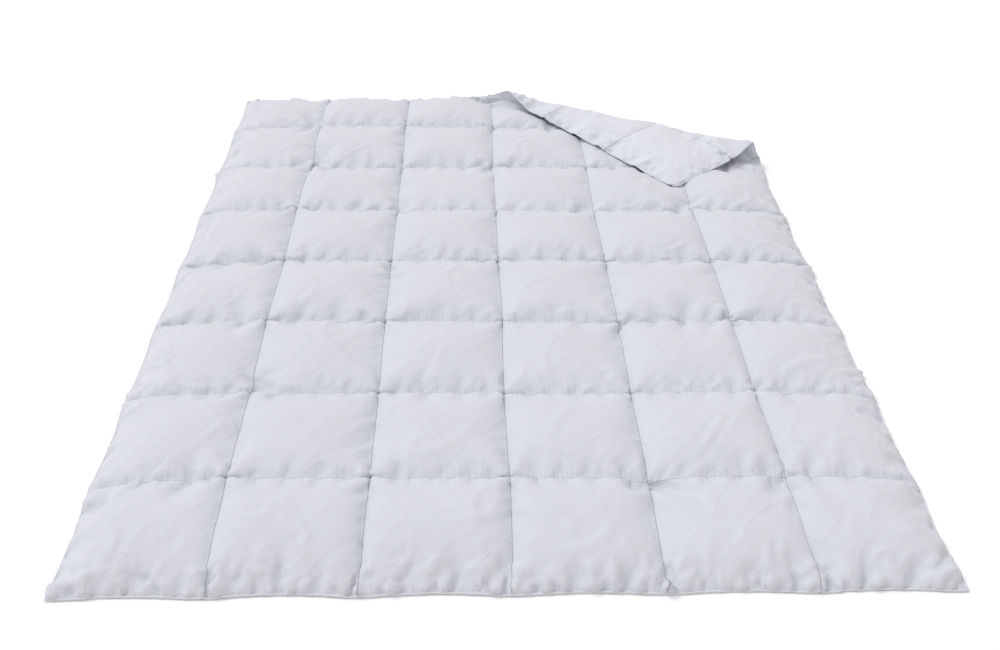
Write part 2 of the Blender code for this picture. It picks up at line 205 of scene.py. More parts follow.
class Covers:
    """Upper and under cover on one grid: points[0] is the upper cover, points[1] the under one."""

    def __init__(self, cells):
        self.cells = cells
        self.across, self.along = COLUMNS * cells, ROWS * cells
        step_x, step_y = width / self.across, length / self.along
        self.cell_area = step_x * step_y
        column = np.arange(self.across + 1)
        row = np.arange(self.along + 1)
        self.x = np.repeat(column[:, None] * step_x - width / 2, self.along + 1, axis=1)
        self.y = np.repeat(row[None, :] * step_y - length / 2, self.across + 1, axis=0)
        self.past = past_fold(self.x, self.y)
        self.seam_x, self.seam_y = column[::cells], row[::cells]
        self.cut_cloth(step_x, step_y)
        self.mark_lines()
        self.mark_anchors()

    def cut_cloth(self, step_x, step_y):
        """Lengths that the cloth is cut to between neighbouring points, spare cloth included."""
        def from_seam(count, step):
            half = self.cells / 2
            return np.abs((np.arange(count + 1) + half) % self.cells - half) * step

        near_cross = np.exp(-((from_seam(self.along, step_y) / GATHER_REACH) ** 1.5))[None, :]
        near_long = np.exp(-((from_seam(self.across, step_x) / GATHER_REACH) ** 1.5))[:, None]
        uneven_x = CUT_VARIATION * ripple(self.x, self.y, 1, 0.07, 0.35)
        uneven_y = CUT_VARIATION * ripple(self.x, self.y, 2, 0.07, 0.35)
        cut_x = step_x * (1 + SPARE_ACROSS + GATHER_ACROSS * near_cross + uneven_x)
        cut_y = step_y * (1 + SPARE_ALONG + GATHER_ALONG * near_long + uneven_y)
        tack_x = TACK_PINCH * np.exp(-((from_seam(self.across, step_x) / TACK_REACH) ** 2))
        tack_y = TACK_PINCH * np.exp(-((from_seam(self.along, step_y) / TACK_REACH) ** 2))
        cut_x[:, self.seam_y] = step_x * (1 + THREAD_EASE - tack_x[:, None])
        cut_y[self.seam_x, :] = step_y * (1 + THREAD_EASE - tack_y[None, :])
        cut_x[:, (0, -1)] = step_x * (1 + EDGE_EASE)
        cut_y[(0, -1), :] = step_y * (1 + EDGE_EASE)
        self.cut_x = ((cut_x[1:] + cut_x[:-1]) / 2).astype(np.float32)
        self.cut_y = ((cut_y[:, 1:] + cut_y[:, :-1]) / 2).astype(np.float32)
        self.cut_bias = np.sqrt(self.cut_x[:, :-1] ** 2 + self.cut_y[:-1, :] ** 2)

    def mark_lines(self):
        """Which points lie on a seam or on the edge. Cloth folds freely across a seam."""
        shape = self.x.shape
        self.on_edge = np.zeros(shape, bool)
        self.on_edge[(0, -1), :] = True
        self.on_edge[:, (0, -1)] = True
        on_seam = np.zeros(shape, bool)
        on_seam[self.seam_x, :] = True
        on_seam[:, self.seam_y] = True
        self.on_baffle = on_seam & ~self.on_edge
        self.bend_x = np.full(shape, BENDING, np.float32)
        self.bend_y = np.full(shape, BENDING, np.float32)
        self.bend_x[self.seam_x, :] = 0
        self.bend_y[:, self.seam_y] = 0

    def mark_anchors(self):
        """Where seam crossings lie, how full each chamber is, and what the corner rests on."""
        mirrored = np.where(self.past > 0, -self.past, self.past) - self.past
        lie_x = self.x + mirrored * fold_across[0]
        lie_y = self.y + mirrored * fold_across[1]
        self.crossings = np.ix_(self.seam_x, self.seam_y)
        chance = np.random.default_rng(12)
        stray_x = chance.normal(0, SEAM_STRAY, (COLUMNS + 1, ROWS + 1))
        stray_y = chance.normal(0, SEAM_STRAY, (COLUMNS + 1, ROWS + 1))
        stray_x[(0, -1), :] = 0
        stray_y[:, (0, -1)] = 0
        self.anchor_x = lie_x[self.crossings] + stray_x
        self.anchor_y = lie_y[self.crossings] + stray_y
        past = self.past[self.crossings]
        on_corner_or_fold = np.where(past > 0.05, CORNER_CROSSING_HOLD, 0.0)
        self.anchor_hold = np.where(past < -0.05, CROSSING_HOLD, on_corner_or_fold)
        rows, columns = self.y[0], self.x[:, 0]
        bow_x = [np.interp(rows, rows[self.seam_y], stray) for stray in stray_x]
        bow_y = [np.interp(columns, columns[self.seam_x], stray) for stray in stray_y.T]
        self.line_x = self.x[self.seam_x] + np.stack(bow_x)
        self.line_y = self.y[:, self.seam_y] + np.stack(bow_y, axis=1)
        drawn_x = SCALLOP * np.abs(np.sin(np.pi * np.arange(self.along + 1) / self.cells))
        drawn_y = SCALLOP * np.abs(np.sin(np.pi * np.arange(self.across + 1) / self.cells))
        self.line_x[0] += drawn_x
        self.line_x[-1] -= drawn_x
        self.line_y[:, 0] += drawn_y
        self.line_y[:, -1] -= drawn_y
        self.hold_x = SEAM_HOLD * (self.past[self.seam_x] < -CREASE_REACH)
        self.hold_y = SEAM_HOLD * (self.past[:, self.seam_y] < -CREASE_REACH)
        self.strip = np.abs(self.past) < BEND_REACH
        past = self.past[self.strip]
        turn = np.clip(past / BIGHT_START, -1, 1) * np.pi / 2
        inner = BIGHT_DEPTH * np.cos(turn) - BIGHT_START
        outer = np.where(np.abs(past) < BIGHT_START, inner, -np.abs(past))
        self.strip_level = (-np.maximum(np.abs(past), CREASE), outer)
        self.strip_hold = STRIP_HOLD * (1 - np.abs(past) / BEND_REACH)
        fullness = np.random.default_rng(11).uniform(0.8, 1.25, (COLUMNS, ROWS))
        which_x = np.minimum(np.arange(self.across + 1) // self.cells, COLUMNS - 1)
        which_y = np.minimum(np.arange(self.along + 1) // self.cells, ROWS - 1)
        thin_at_fold = 1 - THINNER_AT_FOLD * np.exp(-((self.past / BEND_REACH) ** 2))
        self.fullness = (thin_at_fold * fullness[which_x][:, which_y]).astype(np.float32)
        edge_past = self.past[self.on_edge]
        rise = np.clip(1 + edge_past / RAMP, 0, 1) ** 2
        self.edge_level = EDGE_LEVEL + (fold_height - 2 * BEND_GAP - EDGE_LEVEL) * rise
        self.edge_hold = np.where(edge_past < 0, EDGE_HOLD, 0.0)
        on_corner = np.clip((self.past - 0.02) / 0.06, 0, 1)
        weighed = self.on_edge & ((self.past < -RAMP) | (self.past > BEND_REACH))
        self.load = (1 - LIGHTER_ON_CORNER * on_corner + EDGE_WEIGHT * weighed).astype(np.float32)

    def lay_out(self):
        """Both covers laid flat, with the corner turned back round a soft bend."""
        turn = np.clip(self.past / BIGHT + np.pi / 2, 0, np.pi)
        round_bend = BIGHT * (np.sin(turn) - np.pi / 2)
        under = np.where(turn <= 0, self.past, np.where(turn >= np.pi, -self.past, round_bend))
        upper = -np.maximum(np.abs(self.past), CREASE)
        heights = (np.where(self.past < 0, 0.024, 0.046), 0.006 + BIGHT * (1 - np.cos(turn)))
        self.points = np.empty((2,) + self.x.shape + (3,), np.float32)
        for cover, (level, height) in enumerate(zip((upper, under), heights)):
            self.points[cover, ..., 0] = self.x + (level - self.past) * fold_across[0]
            self.points[cover, ..., 1] = self.y + (level - self.past) * fold_across[1]
            self.points[cover, ..., 2] = height
        self.shake(5, 0.0004)

    def take_over(self, coarser):
        """Go on from what a coarser cutting of the same cloth has settled to."""
        self.points = split_finer(coarser.points)
        self.shake(7, 0.0003)

    def shake(self, seed, amount):
        """Small uneven heights, from which the folds begin, and no movement."""
        chance = np.random.default_rng(seed)
        self.points[..., 2] += chance.normal(0, amount, self.points.shape[:3])
        self.speed = np.zeros_like(self.points)

    def on_flat_cloth(self):
        """Where each point lies on the flat cloth, from its corner at the foot end."""
        return np.stack([self.x + width / 2, self.y + length / 2, 0 * self.x], axis=-1)

    def outward(self):
        """Normals times area, out of the filling, as shares of one cell's area."""
        along_x = np.gradient(self.points, axis=1)
        along_y = np.gradient(self.points, axis=2)
        normal = np.cross(along_x, along_y) / self.cell_area
        normal[1] *= -1
        return normal

    def settle(self, rounds, push):
        for step in range(rounds):
            ease = min(1.0, 1.6 - step / rounds)
            self.settle_once(push * ease)

    def settle_once(self, push):
        """The filling pushes and the weight pulls, then cloth, baffles, thread and rests hold."""
        points = self.points
        before = points.copy()
        points += self.speed * DRIFT
        normal = self.outward()
        points += normal * (push * self.fullness[..., None])
        points[..., 2] -= push * WEIGHT_SHARE * self.load
        self.hold_cloth()
        self.hold_baffles(normal)
        self.hold_seams()
        self.rest_on_what_is_below()
        self.speed = np.clip(points - before, -0.004, 0.004)

    def hold_cloth(self):
        """Cloth keeps its cut lengths, gives a little on the bias and hardly resists bending."""
        points = self.points
        for first in (0, 1):
            one, other = points[:, first:-1:2], points[:, first + 1::2]
            pull_to_length(one, other, self.cut_x[first::2], STRETCH, SQUEEZE)
            one, other = points[:, :, first:-1:2], points[:, :, first + 1::2]
            pull_to_length(one, other, self.cut_y[:, first::2], STRETCH, SQUEEZE)
        for first in (0, 1):
            bias = self.cut_bias[first::2]
            here, there = points[:, first:-1:2], points[:, first + 1::2]
            pull_to_length(here[:, :, :-1], there[:, :, 1:], bias, SHEAR, SHEAR)
            pull_to_length(here[:, :, 1:], there[:, :, :-1], bias, SHEAR, SHEAR)
        kink = (points[:, :-2] + points[:, 2:] - 2 * points[:, 1:-1]) * self.bend_x[1:-1, :, None]
        points[:, 1:-1] += kink * 0.5
        points[:, :-2] -= kink * 0.25
        points[:, 2:] -= kink * 0.25
        kink = points[:, :, :-2] + points[:, :, 2:] - 2 * points[:, :, 1:-1]
        kink *= self.bend_y[:, 1:-1, None]
        points[:, :, 1:-1] += kink * 0.5
        points[:, :, :-2] -= kink * 0.25
        points[:, :, 2:] -= kink * 0.25

    def hold_baffles(self, normal):
        """Baffles keep the covers no further apart than their height, and stand upright."""
        on = self.on_baffle
        upper, under = self.points[0][on], self.points[1][on]
        upright = normal[0][on] - normal[1][on]
        upright /= np.linalg.norm(upright, axis=1)[:, None] + 1e-9
        baffle = upper - under
        tall = np.linalg.norm(baffle, axis=1) + 1e-9
        crushed = np.minimum(tall - BAFFLE_HEIGHT / 2, 0)
        excess = np.where(tall > BAFFLE_HEIGHT, tall - BAFFLE_HEIGHT, crushed)
        move = baffle * (excess / tall * 0.5)[:, None]
        upper, under = upper - move, under + move
        baffle = upper - under
        lean = baffle - upright * (baffle * upright).sum(1)[:, None]
        self.points[0][on] = upper - lean * BAFFLE_UPRIGHT
        self.points[1][on] = under + lean * BAFFLE_UPRIGHT
        edge = self.on_edge
        joined = (self.points[0][edge] + self.points[1][edge]) / 2
        joined[:, 2] += self.edge_hold * (self.edge_level - joined[:, 2])
        self.points[0][edge] = joined
        self.points[1][edge] = joined

    def hold_seams(self):
        """Crossings stay on the grid, and seams run nearly straight between them."""
        here = self.crossings
        for side, cover in enumerate(self.points):
            x, y = cover[..., 0], cover[..., 1]
            x[here] += self.anchor_hold * (self.anchor_x - x[here])
            y[here] += self.anchor_hold * (self.anchor_y - y[here])
            x[self.seam_x] += self.hold_x * (self.line_x - x[self.seam_x])
            y[:, self.seam_y] += self.hold_y * (self.line_y - y[:, self.seam_y])
            self.hold_fold(cover, self.strip_level[side])
            np.clip(x, 0.002 - width / 2, width / 2 - 0.002, out=x)
            np.clip(y, 0.002 - length / 2, length / 2 - 0.002, out=y)
            np.minimum(cover[..., 2], cad_high.z, out=cover[..., 2])

    def hold_fold(self, cover, wanted):
        """By the fold the cloth keeps its place in the bend and doesn't slip along it."""
        x, y = cover[..., 0][self.strip], cover[..., 1][self.strip]
        own_x, own_y = self.x[self.strip], self.y[self.strip]
        inward = wanted - self.past[self.strip]
        cover[..., 0][self.strip] = x + self.strip_hold * (own_x + inward * fold_across[0] - x)
        cover[..., 1][self.strip] = y + self.strip_hold * (own_y + inward * fold_across[1] - y)

    def rest_on_what_is_below(self):
        """The floor, the other cover, and the level where the corner rests on the flat part."""
        upper, under = self.points[0][..., 2], self.points[1][..., 2]
        np.maximum(under, HALF_CLOTH, out=under)
        np.maximum(upper, 2 * HALF_CLOTH, out=upper)
        side = np.where(self.past > 0, -1, 1)
        short = np.minimum((upper - under) * side - 2 * HALF_CLOTH, 0) * side * 0.5
        short *= (np.abs(self.past) > CREASE_REACH) & ~self.on_edge
        upper -= short
        under += short
        head, tip, side_end = turned_corner()
        outside = np.full(upper.shape, -1.0)
        for start, end in ((head, tip), (tip, side_end)):
            way = (end - start) / np.hypot(*(end - start))
            from_x, from_y = self.points[0][..., 0] - start[0], self.points[0][..., 1] - start[1]
            outside = np.maximum(outside, from_x * way[1] - from_y * way[0])
        clear = np.clip((np.abs(self.past) - BEND_REACH) / 0.05, 0, 1)
        ceiling = fold_height - HALF_CLOTH + np.maximum(outside - 0.004, 0) * 1.4 * clear
        gap = BEND_GAP * np.clip(1.5 - np.abs(self.past) / BEND_REACH / 2, 0, 1)
        flat = self.past <= 0
        upper[flat] = np.minimum(upper[flat], (ceiling - gap)[flat])
        upper[~flat] = np.maximum(upper[~flat], (fold_height + HALF_CLOTH + gap)[~flat])
        before = (self.past < -BIGHT_START) & (self.past > -BEND_REACH - 0.01)
        under[before] = np.minimum(under[before], fold_height - BEND_GAP - HALF_CLOTH)
        turned = self.past > CREASE_REACH
        under[turned] = np.maximum(under[turned], (fold_height + 3 * HALF_CLOTH + gap)[turned])


def settle_covers():
    """Settle the covers on a coarse cutting first, and twice more on finer ones."""
    covers = None
    for cells, rounds, push in zip(CUTTINGS, ROUNDS, FILLING_PUSH):
        finer = Covers(cells)
        if covers is None:
            finer.lay_out()
        else:
            finer.take_over(covers)
        covers = finer
        if cells == CUTTINGS[-1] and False:
            rounds = QUICK_ROUNDS
        covers.settle(rounds, push)
    return covers


covers = settle_covers()


def ease_crease(covers):
    """The upper cover runs level into the crease, turns there and comes back above itself.

    Beside the crease both covers and the piping stay clear of the level at which the fold opens.
    """
    reach = CREASE + 0.015
    firm = np.clip(from_fold_end(covers.x, covers.y) / 0.05, 0, 1)
    firm *= np.clip((1 - np.abs(covers.past) / reach) * 4, 0, 1)
    firm *= ~covers.on_edge
    points = covers.points[0]
    inward = -np.maximum(np.abs(covers.past), CREASE) - covers.past
    points[..., 0] += (covers.x + inward * fold_across[0] - points[..., 0]) * firm
    points[..., 1] += (covers.y + inward * fold_across[1] - points[..., 1]) * firm
    height = fold_height + (BEND_GAP + HALF_CLOTH) * np.clip(covers.past / CREASE, -1, 1)
    points[..., 2] += (height - points[..., 2]) * firm
    for cover, bend in ((0, reach), (1, BIGHT_START)):
        height = covers.points[cover][..., 2]
        margin = BEND_GAP + HALF_CLOTH + (PIPING_RADIUS + HALF_CLOTH) * covers.on_edge
        before = (covers.past > -BEND_REACH - 0.01) & (covers.past < -bend)
        height[before] = np.minimum(height, fold_height - margin)[before]
        after = (covers.past < BEND_REACH + 0.01) & (covers.past > bend)
        height[after] = np.maximum(height, fold_height + margin)[after]


def unevenness(chance, span, shortest, longest):
    """A smooth, uneven row of small waves along a line, from -1 to 1, sampled every 2 mm."""
    places = np.arange(-0.1, span + 0.1, 0.002)
    spots, heights = [-0.12], [0.0]
    sign = 1
    while spots[-1] < span + 0.12:
        spots.append(spots[-1] + chance.uniform(shortest, longest) / 2)
        sign = -sign
        heights.append(sign * chance.uniform(0.3, 1.0))
    fine = np.interp(places, spots, heights)
    smooth = np.convolve(np.pad(fine, 2, mode="edge"), np.ones(5) / 5, mode="valid")
    return places, smooth


PUCKER_HEIGHT = 0.0032
PUCKER_SHORTEST = 0.018           # from one pucker to the next but one
PUCKER_LONGEST = 0.060
PUCKER_REACH = 0.026              # how far from its seam a pucker runs out
WEAKER_SIDE = 0.45                # beside lengthwise seams and on the foot side of crosswise ones


def puckers_beside(covers, cover, crosswise):
    """Heights of the small folds that the thread draws into the cloth on both sides of its seams."""
    chance = np.random.default_rng(31 + 2 * cover + crosswise)
    if crosswise:
        to, run, pitch, count = covers.y + length / 2, covers.x + width / 2, length / ROWS, ROWS
        boxes, box, span = COLUMNS, width / COLUMNS, width
    else:
        to, run, pitch, count = covers.x + width / 2, covers.y + length / 2, width / COLUMNS, COLUMNS
        boxes, box, span = ROWS, length / ROWS, length
    nearest = np.rint(to / pitch).astype(int)
    off = to - nearest * pitch
    total = np.zeros_like(off)
    which = np.clip((run / box).astype(int), 0, boxes - 1)
    for line in range(count + 1):
        edge = line in (0, count)
        for side in (-1, 1):
            here = (nearest == line) & (off * side >= 0)
            if not here.any():
                continue
            places, waves = unevenness(chance, span, PUCKER_SHORTEST, PUCKER_LONGEST)
            strength = chance.uniform(0.35, 1.0, boxes)
            lean = chance.uniform(-0.9, 0.9, boxes)
            if not crosswise or (side < 0 and not edge):
                strength *= WEAKER_SIDE
            if edge:
                strength = np.maximum(strength, 0.5)
            distance = np.abs(off[here])
            reach = PUCKER_REACH * (0.7 + 0.6 * strength[which[here]])
            along = run[here] + lean[which[here]] * distance
            decay = np.exp(-((distance / reach) ** 1.3)) * np.clip(distance / 0.004, 0.3, 1)
            total[here] = np.interp(along, places, waves) * strength[which[here]] * decay
    return total * PUCKER_HEIGHT


def add_fold(total, covers, spot, turn, long_way, short_way, height, bow=0.0):
    """One small fold: a ridge with a valley beside it, round this spot of the flat cloth."""
    reach = 2.2 * long_way
    near_x = np.abs(covers.x[:, 0] - spot[0]) < reach
    near_y = np.abs(covers.y[0] - spot[1]) < reach
    if not near_x.any() or not near_y.any():
        return
    here = np.ix_(near_x, near_y)
    off_x, off_y = covers.x[here] - spot[0], covers.y[here] - spot[1]
    along = off_x * np.cos(turn) + off_y * np.sin(turn)
    beside = off_y * np.cos(turn) - off_x * np.sin(turn) + bow * along ** 2 / long_way
    ridge = np.exp(-((beside / short_way) ** 2)) - 0.6 * np.exp(-((beside / short_way - 1.4) ** 2))
    total[here] += height * np.exp(-((along / long_way) ** 2)) * ridge


SOFT_FOLDS = 190
SOFT_FOLD_HEIGHT = 0.0030
EDGE_CRUMPLES = 460
EDGE_CRUMPLE_HEIGHT = 0.0046
SEAM_CRUMPLES = 520
SEAM_CRUMPLE_HEIGHT = 0.0036


def crumpled(covers, cover):
    """Soft folds across the chambers, and short crumples along the edge and by the seams."""
    total = np.zeros_like(covers.x)
    chance = np.random.default_rng(51 + cover)
    half_x, half_y = width / 2, length / 2
    for _ in range(SOFT_FOLDS):
        spot = (chance.uniform(-half_x, half_x), chance.uniform(-half_y, half_y))
        turn = chance.choice([-1, 1]) * chance.uniform(0.4, 1.2)
        add_fold(total, covers, spot, turn, chance.uniform(0.03, 0.09), chance.uniform(0.007, 0.014),
                 SOFT_FOLD_HEIGHT * chance.uniform(0.3, 1.0), chance.uniform(-0.8, 0.8))
    for _ in range(EDGE_CRUMPLES):
        inside = chance.exponential(0.022) + 0.006
        run = chance.uniform(-1, 1)
        side = chance.integers(0, 4)
        if side < 2:
            spot = (run * half_x, (inside - half_y) if side == 0 else (half_y - inside))
            square = np.pi / 2
        else:
            spot = ((inside - half_x) if side == 2 else (half_x - inside), run * half_y)
            square = 0.0
        turn = square + chance.normal(0, 0.7)
        add_fold(total, covers, spot, turn, chance.uniform(0.012, 0.034), chance.uniform(0.006, 0.010),
                 EDGE_CRUMPLE_HEIGHT * chance.uniform(0.3, 1.0), chance.uniform(-0.8, 0.8))
    for _ in range(SEAM_CRUMPLES):
        column, row = chance.integers(0, COLUMNS + 1), chance.integers(0, ROWS + 1)
        spot = [(column / COLUMNS - 0.5) * width, (row / ROWS - 0.5) * length]
        off = chance.exponential(0.016) + 0.006
        if chance.uniform() < 0.75:
            spot[0] += chance.normal(0, 0.07)
            spot[1] += off
            turn = np.pi / 2 + chance.normal(0, 0.45)
        else:
            spot[0] += off * chance.choice([-1, 1])
            spot[1] += chance.normal(0, 0.05)
            turn = chance.normal(0, 0.45)
        add_fold(total, covers, spot, turn, chance.uniform(0.012, 0.032), chance.uniform(0.006, 0.009),
                 SEAM_CRUMPLE_HEIGHT * chance.uniform(0.3, 1.0), chance.uniform(-0.8, 0.8))
    return total


TACK_HEIGHT = 0.0055
TUCK_IN = 0.030                   # how far from the edge a lengthwise seam's last stitches are tucked


def tacked_crossings(covers, cover):
    """Little rosettes where two seams cross, and starred tucks where a seam meets the edge."""
    total = np.zeros_like(covers.x)
    chance = np.random.default_rng(71 + cover)
    for i in covers.seam_x[1:-1]:
        for j in covers.seam_y:
            at_edge = j in (covers.seam_y[0], covers.seam_y[-1])
            away = TUCK_IN * (1 if j == covers.seam_y[0] else -1) if at_edge else 0.0
            off_x, off_y = covers.x - covers.x[i, j], covers.y - covers.y[i, j] - away
            out = np.hypot(off_x, off_y)
            turn = np.arctan2(off_y, off_x)
            lobes = 0.5 + 0.5 * np.cos(chance.integers(4, 7) * turn + chance.uniform(0, 6.28))
            size = chance.uniform(0.4, 1.0)
            ring, spread = (0.020, 0.013) if at_edge else (0.015, 0.009)
            total += size * lobes * np.exp(-(((out - ring) / spread) ** 2))
    return total * TACK_HEIGHT


def crumple(covers):
    """Adds the small folds, then lets everything rest again on what is below it."""
    normal = covers.outward()
    normal /= np.linalg.norm(normal, axis=-1)[..., None] + 1e-9
    for cover in (0, 1):
        lift = puckers_beside(covers, cover, 1) + puckers_beside(covers, cover, 0)
        lift += crumpled(covers, cover) + tacked_crossings(covers, cover)
        lift[covers.on_edge] = 0
        lift *= np.clip(np.abs(covers.past) / 0.04, 0.2, 1)
        covers.points[cover] += normal[cover] * lift[..., None]
    covers.rest_on_what_is_below()


crumple(covers)
ease_crease(covers)


class Wire:
    """A shader socket that adds, multiplies and so on like a number."""

    def __init__(self, tree, socket):
        self.tree, self.socket = tree, socket

    def node(self, kind, settings=None, out=0, **values):
        """The output of a new node. Values are given by socket name, as numbers or wires."""
        made = self.tree.nodes.new(kind)
        for name, value in (settings or {}).items():
            setattr(made, name, value)
        for name, value in values.items():
            join(self.tree, made.inputs[name.replace("_", " ")], value)
        return Wire(self.tree, made.outputs[out])

    def maths(self, operation, one, other=None):
        made = self.tree.nodes.new("ShaderNodeMath")
        made.operation = operation
        join(self.tree, made.inputs[0], one)
        if other is not None:
            join(self.tree, made.inputs[1], other)
        return Wire(self.tree, made.outputs[0])

    def __add__(self, other):
        return self.maths("ADD", self, other)

    def __radd__(self, other):
        return self.maths("ADD", other, self)

    def __sub__(self, other):
        return self.maths("SUBTRACT", self, other)

    def __rsub__(self, other):
        return self.maths("SUBTRACT", other, self)

    def __mul__(self, other):
        return self.maths("MULTIPLY", self, other)

    def __rmul__(self, other):
        return self.maths("MULTIPLY", other, self)

    def __pow__(self, other):
        return self.maths("POWER", self, other)

    def __abs__(self):
        return self.maths("ABSOLUTE", self)

    def sine(self):
        return self.maths("SINE", self)

    def at_least(self, least):
        return self.maths("MAXIMUM", self, least)

    def to_line(self, apart):
        """Distance to the nearest of the lines that lie this far apart."""
        return self.maths("PINGPONG", self, apart / 2)

    def fade(self, reach):
        """1 at a line and 0 from this reach on, for a distance to the line."""
        return (1 - self * (1 / reach)).at_least(0) ** 2

    def mixed(self, one, other):
        """Colour one, turning into the other colour as this goes from 0 to 1."""
        made = self.tree.nodes.new("ShaderNodeMix")
        made.data_type = "RGBA"
        join(self.tree, made.inputs["Factor"], self)
        join(self.tree, made.inputs[6], one)
        join(self.tree, made.inputs[7], other)
        return Wire(self.tree, made.outputs[2])


def join(tree, socket, value):
    if isinstance(value, Wire):
        tree.links.new(value.socket, socket)
    else:
        socket.default_value = value


COTTON = (0.650, 0.662, 0.708, 1.0)
COTTON_SHADE = (0.628, 0.640, 0.686, 1.0)
# Painted light: the same cotton as COTTON, made lighter all over, for the under cover. The under cover
# shows on the turned-back corner, and the lighter tone stands in for the extra light on that raised corner.
UNDER_COTTON_PAINTED_LIGHTER = (0.735, 0.750, 0.800, 1.0)
# Darker colour along the seam lines: partly the needle holes and thread, and partly painted shade in the
# narrow seam grooves.
NEEDLE_HOLES_AND_PAINTED_SHADE = (0.50, 0.505, 0.54, 1.0)
THREAD_PITCH = 0.0004             # of the weave
THREAD_RELIEF = 0.00002
STITCH_PITCH = 0.0034             # of the seams
STITCH_RELIEF = 0.0004
NEEDLE_LINE = 0.0018              # half the width of the dent that the thread pulls into the cloth
NEEDLE_DENT = 0.0012
CROSS_PUCKER_RELIEF = 0.0026
LONG_PUCKER_RELIEF = 0.0015
CREASE_RELIEF = 0.0008
CRUMPLE_RELIEF = 0.0040
CHAMBER_WIDTH = width / COLUMNS
CHAMBER_LENGTH = length / ROWS


def cloth_material(name, roughness, sheen):
    """A new material, its shader, and wires for the place on the flat cloth, in metres."""
    material = bpy.data.materials.new(name)
    material.use_nodes = True
    tree = material.node_tree
    shader = tree.nodes["Principled BSDF"]
    shader.inputs["Roughness"].default_value = roughness
    shader.inputs["Sheen Weight"].default_value = sheen
    shader.inputs["Sheen Roughness"].default_value = 0.5
    shader.inputs["Specular IOR Level"].default_value = 0.2
    place = tree.nodes.new("ShaderNodeAttribute")
    place.attribute_name = "cloth"
    cloth = Wire(tree, place.outputs["Vector"])
    apart = tree.nodes.new("ShaderNodeSeparateXYZ")
    join(tree, apart.inputs[0], cloth)
    return material, shader, cloth, Wire(tree, apart.outputs[0]), Wire(tree, apart.outputs[1])


def streaks(cloth, across, along, stretch_across, stretch_along, detail=2.0, seed=0.0):
    """Noise drawn out along one direction of the cloth, from -1 to 1."""
    spot = cloth.node("ShaderNodeCombineXYZ", X=across * stretch_across, Y=along * stretch_along, Z=seed)
    noise = cloth.node("ShaderNodeTexNoise", Vector=spot, Scale=1.0, Detail=detail, Roughness=0.5)
    return noise * 2.0 - 1.0


def cotton_finish(name, tone, seed):
    """Down-proof cotton: tight plain weave, fine puckers at the seams and soft creases all over."""
    material, shader, cloth, across, along = cloth_material(name, 0.78, 0.15)
    from_long = across.to_line(CHAMBER_WIDTH)
    from_cross = along.to_line(CHAMBER_LENGTH)
    thread_turn = 2 * math.pi / THREAD_PITCH
    weave = (across * thread_turn).sine() * (along * thread_turn).sine()
    cross_puckers = streaks(cloth, across, along, 95.0, 16.0, 2.0, seed) * from_cross.fade(0.055)
    long_puckers = streaks(cloth, across, along, 16.0, 95.0, 2.0, seed + 3) * from_long.fade(0.030)
    rising = across + along
    falling = across - along
    lean_one = streaks(cloth, rising, falling, 17.0, 4.0, 2.0, seed + 5)
    lean_two = streaks(cloth, falling, rising, 15.0, 4.0, 2.0, seed + 7)
    creases = ((1 - abs(lean_one)) ** 7) + ((1 - abs(lean_two)) ** 7)
    crumple = cloth.node("ShaderNodeTexNoise", Vector=cloth, Scale=13.0, Detail=4.0, Roughness=0.5)
    slubs = streaks(cloth, across, along, 900.0, 40.0, 1.0, seed + 9)
    needle = from_long.fade(NEEDLE_LINE) + from_cross.fade(NEEDLE_LINE) * 0.4
    stitch_turn = 2 * math.pi / STITCH_PITCH
    beat_long = (along * stitch_turn).sine() * from_long.fade(0.0022)
    beat_cross = (across * stitch_turn).sine() * from_cross.fade(0.0022)
    height = weave * THREAD_RELIEF + slubs * THREAD_RELIEF
    height = height + cross_puckers * CROSS_PUCKER_RELIEF + long_puckers * LONG_PUCKER_RELIEF
    height = height + creases * CREASE_RELIEF + crumple * CRUMPLE_RELIEF
    height = height - needle * NEEDLE_DENT + (beat_long + beat_cross) * STITCH_RELIEF
    bump = cloth.node("ShaderNodeBump", Strength=1.0, Distance=1.0, Height=height)
    join(shader.id_data, shader.inputs["Normal"], bump)
    cloudy = cloth.node("ShaderNodeTexNoise", Vector=cloth, Scale=7.0, Detail=5.0, Roughness=0.65)
    shade = cloudy.mixed(tone, COTTON_SHADE)
    # Along the seams the colour darkens: partly needle holes, and partly painted shade in the seam grooves.
    colour = (needle * 0.8).mixed(shade, NEEDLE_HOLES_AND_PAINTED_SHADE)
    join(shader.id_data, shader.inputs["Base Color"], colour)
    matt = 0.72 + crumple * 0.12
    join(shader.id_data, shader.inputs["Roughness"], matt)
    return material


upper_cotton = cotton_finish("upper_cotton", COTTON, 0.0)
# The under cover's tone holds painted light: it is lighter than the upper cover's to stand in for the light
# on the turned-back corner.
under_cotton_painted_lighter = cotton_finish("under_cotton_painted_lighter", UNDER_COTTON_PAINTED_LIGHTER, 20.0)


def make_piece(name, points, faces, cloth, material):
    """A mesh whose points know their place on the flat cloth, for its material."""
    data = bpy.data.meshes.new(name)
    data.from_pydata(points.tolist(), [], faces)
    place = data.attributes.new("cloth", "FLOAT_VECTOR", "POINT")
    place.data.foreach_set("vector", np.ascontiguousarray(cloth, np.float32).ravel())
    data.materials.append(material)
    piece = bpy.data.objects.new(name, data)
    bpy.context.scene.collection.objects.link(piece)
    return piece


def set_in_motion(piece, part):
    """The flat part is attached to the quilt's body and the corner to the corner's body; the strip between
    them is left where it lies.
    """
    if part == "flat":
        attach(piece, "quilt")
    elif part == "corner":
        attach(piece, "corner")
    else:
        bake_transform(piece)


REGIONS = ("flat", "bend", "corner")


def part_of(past):
    """0 for the flat part, 1 for the strip that bends and 2 for the turned corner."""
    return (past > -BEND_REACH).astype(int) + (past > BEND_REACH).astype(int)


